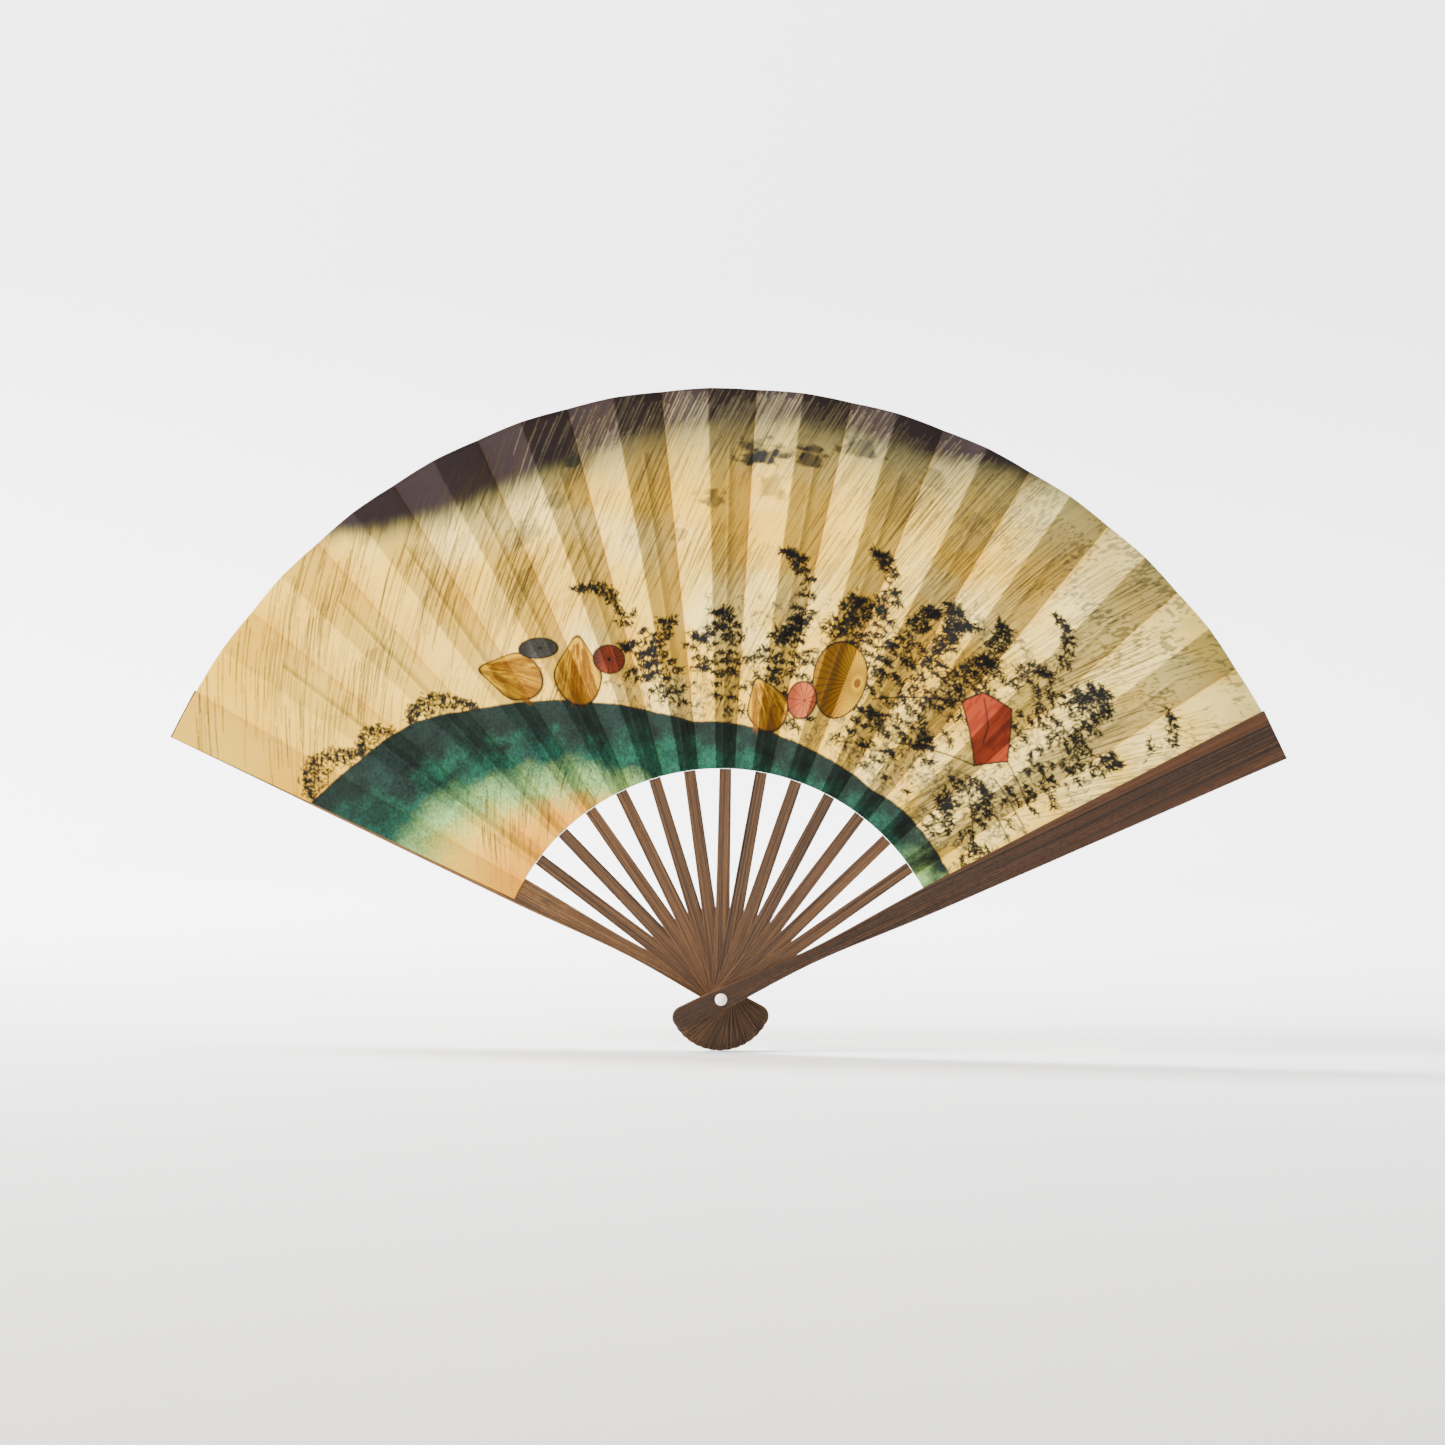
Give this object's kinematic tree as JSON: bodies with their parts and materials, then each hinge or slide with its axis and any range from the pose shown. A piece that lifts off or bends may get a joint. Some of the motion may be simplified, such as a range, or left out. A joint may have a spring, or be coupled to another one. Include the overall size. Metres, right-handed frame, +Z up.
{
  "type": "folding hand fan",
  "caption": "Bamboo folding hand fan, shown open: thin ribs between two wider guards on a white rivet, with a pleated two-ply paper leaf over their outer part.",
  "frame": {"origin": "the middle of the rivet, on its axis", "axes": "+Z up along the middle rib of the open fan, +X towards the front guard's side, -Y towards the viewer of the painted face, with Y along the rivet"},
  "size_m": [0.3818, 0.0214, 0.2265],
  "materials": {
    "guard_bamboo": "satin",
    "rib_bamboo": "satin",
    "leaf_paper": "matte",
    "rivet_plastic": "satin"
  },
  "bodies": {
    "rear_side": {"rear_guard": "guard_bamboo", "rivet_pin": "rivet_plastic", "rivet_cap": "rivet_plastic", "leaf_end_rear": "leaf_paper"},
    "front_side": {"front_guard": "guard_bamboo", "leaf_end_front": "leaf_paper"},
    "rib_01": {"rib_01": "rib_bamboo"},
    "pleat_01": {"rib_blade_01": "rib_bamboo", "leaf_pleat_01": "leaf_paper"},
    "rib_02": {"rib_02": "rib_bamboo"},
    "pleat_02": {"rib_blade_02": "rib_bamboo", "leaf_pleat_02": "leaf_paper"},
    "rib_03": {"rib_03": "rib_bamboo"},
    "pleat_03": {"rib_blade_03": "rib_bamboo", "leaf_pleat_03": "leaf_paper"},
    "rib_04": {"rib_04": "rib_bamboo"},
    "pleat_04": {"rib_blade_04": "rib_bamboo", "leaf_pleat_04": "leaf_paper"},
    "rib_05": {"rib_05": "rib_bamboo"},
    "pleat_05": {"rib_blade_05": "rib_bamboo", "leaf_pleat_05": "leaf_paper"},
    "rib_06": {"rib_06": "rib_bamboo"},
    "pleat_06": {"rib_blade_06": "rib_bamboo", "leaf_pleat_06": "leaf_paper"},
    "rib_07": {"rib_07": "rib_bamboo"},
    "pleat_07": {"rib_blade_07": "rib_bamboo", "leaf_pleat_07": "leaf_paper"},
    "rib_08": {"rib_08": "rib_bamboo"},
    "pleat_08": {"rib_blade_08": "rib_bamboo", "leaf_pleat_08": "leaf_paper"},
    "rib_09": {"rib_09": "rib_bamboo"},
    "pleat_09": {"rib_blade_09": "rib_bamboo", "leaf_pleat_09": "leaf_paper"},
    "rib_10": {"rib_10": "rib_bamboo"},
    "pleat_10": {"rib_blade_10": "rib_bamboo", "leaf_pleat_10": "leaf_paper"},
    "rib_11": {"rib_11": "rib_bamboo"},
    "pleat_11": {"rib_blade_11": "rib_bamboo", "leaf_pleat_11": "leaf_paper"},
    "rib_12": {"rib_12": "rib_bamboo"},
    "pleat_12": {"rib_blade_12": "rib_bamboo", "leaf_pleat_12": "leaf_paper"},
    "rib_13": {"rib_13": "rib_bamboo"},
    "pleat_13": {"rib_blade_13": "rib_bamboo", "leaf_pleat_13": "leaf_paper"},
    "fold_00": {"leaf_fold_00": "leaf_paper"},
    "fold_01": {"leaf_fold_01": "leaf_paper"},
    "fold_02": {"leaf_fold_02": "leaf_paper"},
    "fold_03": {"leaf_fold_03": "leaf_paper"},
    "fold_04": {"leaf_fold_04": "leaf_paper"},
    "fold_05": {"leaf_fold_05": "leaf_paper"},
    "fold_06": {"leaf_fold_06": "leaf_paper"},
    "fold_07": {"leaf_fold_07": "leaf_paper"},
    "fold_08": {"leaf_fold_08": "leaf_paper"},
    "fold_09": {"leaf_fold_09": "leaf_paper"},
    "fold_10": {"leaf_fold_10": "leaf_paper"},
    "fold_11": {"leaf_fold_11": "leaf_paper"},
    "fold_12": {"leaf_fold_12": "leaf_paper"},
    "fold_13": {"leaf_fold_13": "leaf_paper"}
  },
  "joints": [
    {"name": "fan_fold", "type": "hinge", "parent": "rear_side", "child": "front_side", "pos_m": [0, 0, 0], "axis": [0, -1, 0], "range_deg": [0, 126.72]},
    {"name": "rib_swing_01", "type": "hinge", "parent": "rear_side", "child": "rib_01", "pos_m": [0, 0, 0], "axis": [0, -1, 0], "range_deg": [0, 9.37]},
    {"name": "pleat_turn_01", "type": "hinge", "parent": "rib_01", "child": "pleat_01", "pos_m": [0, 0.0066, 0], "axis": [0.809, 0, -0.5878], "range_deg": [0, 18.61]},
    {"name": "rib_swing_02", "type": "hinge", "parent": "rear_side", "child": "rib_02", "pos_m": [0, 0, 0], "axis": [0, -1, 0], "range_deg": [0, 18.37]},
    {"name": "pleat_turn_02", "type": "hinge", "parent": "rib_02", "child": "pleat_02", "pos_m": [0, 0.0055, 0], "axis": [0.7071, 0, -0.7071], "range_deg": [0, 18.61]},
    {"name": "rib_swing_03", "type": "hinge", "parent": "rear_side", "child": "rib_03", "pos_m": [0, 0, 0], "axis": [0, -1, 0], "range_deg": [0, 27.37]},
    {"name": "pleat_turn_03", "type": "hinge", "parent": "rib_03", "child": "pleat_03", "pos_m": [0, 0.0044, 0], "axis": [0.5878, 0, -0.809], "range_deg": [0, 18.61]},
    {"name": "rib_swing_04", "type": "hinge", "parent": "rear_side", "child": "rib_04", "pos_m": [0, 0, 0], "axis": [0, -1, 0], "range_deg": [0, 36.37]},
    {"name": "pleat_turn_04", "type": "hinge", "parent": "rib_04", "child": "pleat_04", "pos_m": [0, 0.0033, 0], "axis": [0.454, 0, -0.891], "range_deg": [0, 18.61]},
    {"name": "rib_swing_05", "type": "hinge", "parent": "rear_side", "child": "rib_05", "pos_m": [0, 0, 0], "axis": [0, -1, 0], "range_deg": [0, 45.37]},
    {"name": "pleat_turn_05", "type": "hinge", "parent": "rib_05", "child": "pleat_05", "pos_m": [0, 0.0022, 0], "axis": [0.309, 0, -0.9511], "range_deg": [0, 18.61]},
    {"name": "rib_swing_06", "type": "hinge", "parent": "rear_side", "child": "rib_06", "pos_m": [0, 0, 0], "axis": [0, -1, 0], "range_deg": [0, 54.37]},
    {"name": "pleat_turn_06", "type": "hinge", "parent": "rib_06", "child": "pleat_06", "pos_m": [0, 0.0011, 0], "axis": [0.1564, 0, -0.9877], "range_deg": [0, 18.61]},
    {"name": "rib_swing_07", "type": "hinge", "parent": "rear_side", "child": "rib_07", "pos_m": [0, 0, 0], "axis": [0, -1, 0], "range_deg": [0, 63.37]},
    {"name": "pleat_turn_07", "type": "hinge", "parent": "rib_07", "child": "pleat_07", "pos_m": [0, 0, 0], "axis": [0, 0, -1], "range_deg": [0, 18.61]},
    {"name": "rib_swing_08", "type": "hinge", "parent": "rear_side", "child": "rib_08", "pos_m": [0, 0, 0], "axis": [0, -1, 0], "range_deg": [0, 72.37]},
    {"name": "pleat_turn_08", "type": "hinge", "parent": "rib_08", "child": "pleat_08", "pos_m": [0, -0.0011, 0], "axis": [-0.1564, 0, -0.9877], "range_deg": [0, 18.61]},
    {"name": "rib_swing_09", "type": "hinge", "parent": "rear_side", "child": "rib_09", "pos_m": [0, 0, 0], "axis": [0, -1, 0], "range_deg": [0, 81.37]},
    {"name": "pleat_turn_09", "type": "hinge", "parent": "rib_09", "child": "pleat_09", "pos_m": [0, -0.0022, 0], "axis": [-0.309, 0, -0.9511], "range_deg": [0, 18.61]},
    {"name": "rib_swing_10", "type": "hinge", "parent": "rear_side", "child": "rib_10", "pos_m": [0, 0, 0], "axis": [0, -1, 0], "range_deg": [0, 90.37]},
    {"name": "pleat_turn_10", "type": "hinge", "parent": "rib_10", "child": "pleat_10", "pos_m": [0, -0.0033, 0], "axis": [-0.454, 0, -0.891], "range_deg": [0, 18.61]},
    {"name": "rib_swing_11", "type": "hinge", "parent": "rear_side", "child": "rib_11", "pos_m": [0, 0, 0], "axis": [0, -1, 0], "range_deg": [0, 99.37]},
    {"name": "pleat_turn_11", "type": "hinge", "parent": "rib_11", "child": "pleat_11", "pos_m": [0, -0.0044, 0], "axis": [-0.5878, 0, -0.809], "range_deg": [0, 18.61]},
    {"name": "rib_swing_12", "type": "hinge", "parent": "rear_side", "child": "rib_12", "pos_m": [0, 0, 0], "axis": [0, -1, 0], "range_deg": [0, 108.37]},
    {"name": "pleat_turn_12", "type": "hinge", "parent": "rib_12", "child": "pleat_12", "pos_m": [0, -0.0055, 0], "axis": [-0.7071, 0, -0.7071], "range_deg": [0, 18.61]},
    {"name": "rib_swing_13", "type": "hinge", "parent": "rear_side", "child": "rib_13", "pos_m": [0, 0, 0], "axis": [0, -1, 0], "range_deg": [0, 117.37]},
    {"name": "pleat_turn_13", "type": "hinge", "parent": "rib_13", "child": "pleat_13", "pos_m": [0, -0.0066, 0], "axis": [-0.809, 0, -0.5878], "range_deg": [0, 18.61]},
    {"name": "fold_flip_00", "type": "hinge", "parent": "rear_side", "child": "fold_00", "pos_m": [0, 0.00715, 0], "axis": [0.8744, 0, -0.4852], "range_deg": [0, 170.72], "deforming": ["leaf_fold_00"]},
    {"name": "fold_flip_01", "type": "hinge", "parent": "rib_01", "child": "fold_01", "pos_m": [0, 0.00605, 0], "axis": [0.7853, -0.0066, -0.6191], "range_deg": [0, 161.04], "deforming": ["leaf_fold_01"]},
    {"name": "fold_flip_02", "type": "hinge", "parent": "rib_02", "child": "fold_02", "pos_m": [0, 0.00495, 0], "axis": [0.6788, -0.0066, -0.7343], "range_deg": [0, 161.04], "deforming": ["leaf_fold_02"]},
    {"name": "fold_flip_03", "type": "hinge", "parent": "rib_03", "child": "fold_03", "pos_m": [0, 0.00385, 0], "axis": [0.5556, -0.0066, -0.8315], "range_deg": [0, 161.04], "deforming": ["leaf_fold_03"]},
    {"name": "fold_flip_04", "type": "hinge", "parent": "rib_04", "child": "fold_04", "pos_m": [0, 0.00275, 0], "axis": [0.4187, -0.0066, -0.9081], "range_deg": [0, 161.04], "deforming": ["leaf_fold_04"]},
    {"name": "fold_flip_05", "type": "hinge", "parent": "rib_05", "child": "fold_05", "pos_m": [0, 0.00165, 0], "axis": [0.2714, -0.0066, -0.9624], "range_deg": [0, 161.04], "deforming": ["leaf_fold_05"]},
    {"name": "fold_flip_06", "type": "hinge", "parent": "rib_06", "child": "fold_06", "pos_m": [0, 0.00055, 0], "axis": [0.1175, -0.0066, -0.993], "range_deg": [0, 161.04], "deforming": ["leaf_fold_06"]},
    {"name": "fold_flip_07", "type": "hinge", "parent": "rib_07", "child": "fold_07", "pos_m": [0, -0.00055, 0], "axis": [-0.0393, -0.0066, -0.9992], "range_deg": [0, 161.04], "deforming": ["leaf_fold_07"]},
    {"name": "fold_flip_08", "type": "hinge", "parent": "rib_08", "child": "fold_08", "pos_m": [0, -0.00165, 0], "axis": [-0.1951, -0.0066, -0.9808], "range_deg": [0, 161.04], "deforming": ["leaf_fold_08"]},
    {"name": "fold_flip_09", "type": "hinge", "parent": "rib_09", "child": "fold_09", "pos_m": [0, -0.00275, 0], "axis": [-0.3461, -0.0066, -0.9382], "range_deg": [0, 161.04], "deforming": ["leaf_fold_09"]},
    {"name": "fold_flip_10", "type": "hinge", "parent": "rib_10", "child": "fold_10", "pos_m": [0, -0.00385, 0], "axis": [-0.4886, -0.0066, -0.8725], "range_deg": [0, 161.04], "deforming": ["leaf_fold_10"]},
    {"name": "fold_flip_11", "type": "hinge", "parent": "rib_11", "child": "fold_11", "pos_m": [0, -0.00495, 0], "axis": [-0.6191, -0.0066, -0.7853], "range_deg": [0, 161.04], "deforming": ["leaf_fold_11"]},
    {"name": "fold_flip_12", "type": "hinge", "parent": "rib_12", "child": "fold_12", "pos_m": [0, -0.00605, 0], "axis": [-0.7343, -0.0066, -0.6788], "range_deg": [0, 161.04], "deforming": ["leaf_fold_12"]},
    {"name": "fold_flip_13", "type": "hinge", "parent": "rib_13", "child": "fold_13", "pos_m": [0, -0.00715, 0], "axis": [-0.8319, -0.0066, -0.5549], "range_deg": [0, 170.75], "deforming": ["leaf_fold_13"]}
  ],
  "couplings": [
    {"joint": "rib_swing_01", "follows": "fan_fold", "ratio": 0.073864},
    {"joint": "pleat_turn_01", "follows": "fan_fold", "ratio": 0.14678},
    {"joint": "rib_swing_02", "follows": "fan_fold", "ratio": 0.14489},
    {"joint": "pleat_turn_02", "follows": "fan_fold", "ratio": 0.14678},
    {"joint": "rib_swing_03", "follows": "fan_fold", "ratio": 0.21591},
    {"joint": "pleat_turn_03", "follows": "fan_fold", "ratio": 0.14678},
    {"joint": "rib_swing_04", "follows": "fan_fold", "ratio": 0.28693},
    {"joint": "pleat_turn_04", "follows": "fan_fold", "ratio": 0.14678},
    {"joint": "rib_swing_05", "follows": "fan_fold", "ratio": 0.35795},
    {"joint": "pleat_turn_05", "follows": "fan_fold", "ratio": 0.14678},
    {"joint": "rib_swing_06", "follows": "fan_fold", "ratio": 0.42898},
    {"joint": "pleat_turn_06", "follows": "fan_fold", "ratio": 0.14678},
    {"joint": "rib_swing_07", "follows": "fan_fold", "ratio": 0.5},
    {"joint": "pleat_turn_07", "follows": "fan_fold", "ratio": 0.14678},
    {"joint": "rib_swing_08", "follows": "fan_fold", "ratio": 0.57102},
    {"joint": "pleat_turn_08", "follows": "fan_fold", "ratio": 0.14678},
    {"joint": "rib_swing_09", "follows": "fan_fold", "ratio": 0.64205},
    {"joint": "pleat_turn_09", "follows": "fan_fold", "ratio": 0.14678},
    {"joint": "rib_swing_10", "follows": "fan_fold", "ratio": 0.71307},
    {"joint": "pleat_turn_10", "follows": "fan_fold", "ratio": 0.14678},
    {"joint": "rib_swing_11", "follows": "fan_fold", "ratio": 0.78409},
    {"joint": "pleat_turn_11", "follows": "fan_fold", "ratio": 0.14678},
    {"joint": "rib_swing_12", "follows": "fan_fold", "ratio": 0.85511},
    {"joint": "pleat_turn_12", "follows": "fan_fold", "ratio": 0.14678},
    {"joint": "rib_swing_13", "follows": "fan_fold", "ratio": 0.92614},
    {"joint": "pleat_turn_13", "follows": "fan_fold", "ratio": 0.14678},
    {"joint": "fold_flip_00", "follows": "fan_fold", "ratio": 1.3472},
    {"joint": "fold_flip_01", "follows": "fan_fold", "ratio": 1.2708},
    {"joint": "fold_flip_02", "follows": "fan_fold", "ratio": 1.2708},
    {"joint": "fold_flip_03", "follows": "fan_fold", "ratio": 1.2708},
    {"joint": "fold_flip_04", "follows": "fan_fold", "ratio": 1.2708},
    {"joint": "fold_flip_05", "follows": "fan_fold", "ratio": 1.2708},
    {"joint": "fold_flip_06", "follows": "fan_fold", "ratio": 1.2708},
    {"joint": "fold_flip_07", "follows": "fan_fold", "ratio": 1.2708},
    {"joint": "fold_flip_08", "follows": "fan_fold", "ratio": 1.2708},
    {"joint": "fold_flip_09", "follows": "fan_fold", "ratio": 1.2708},
    {"joint": "fold_flip_10", "follows": "fan_fold", "ratio": 1.2708},
    {"joint": "fold_flip_11", "follows": "fan_fold", "ratio": 1.2708},
    {"joint": "fold_flip_12", "follows": "fan_fold", "ratio": 1.2708},
    {"joint": "fold_flip_13", "follows": "fan_fold", "ratio": 1.3474}
  ]
}
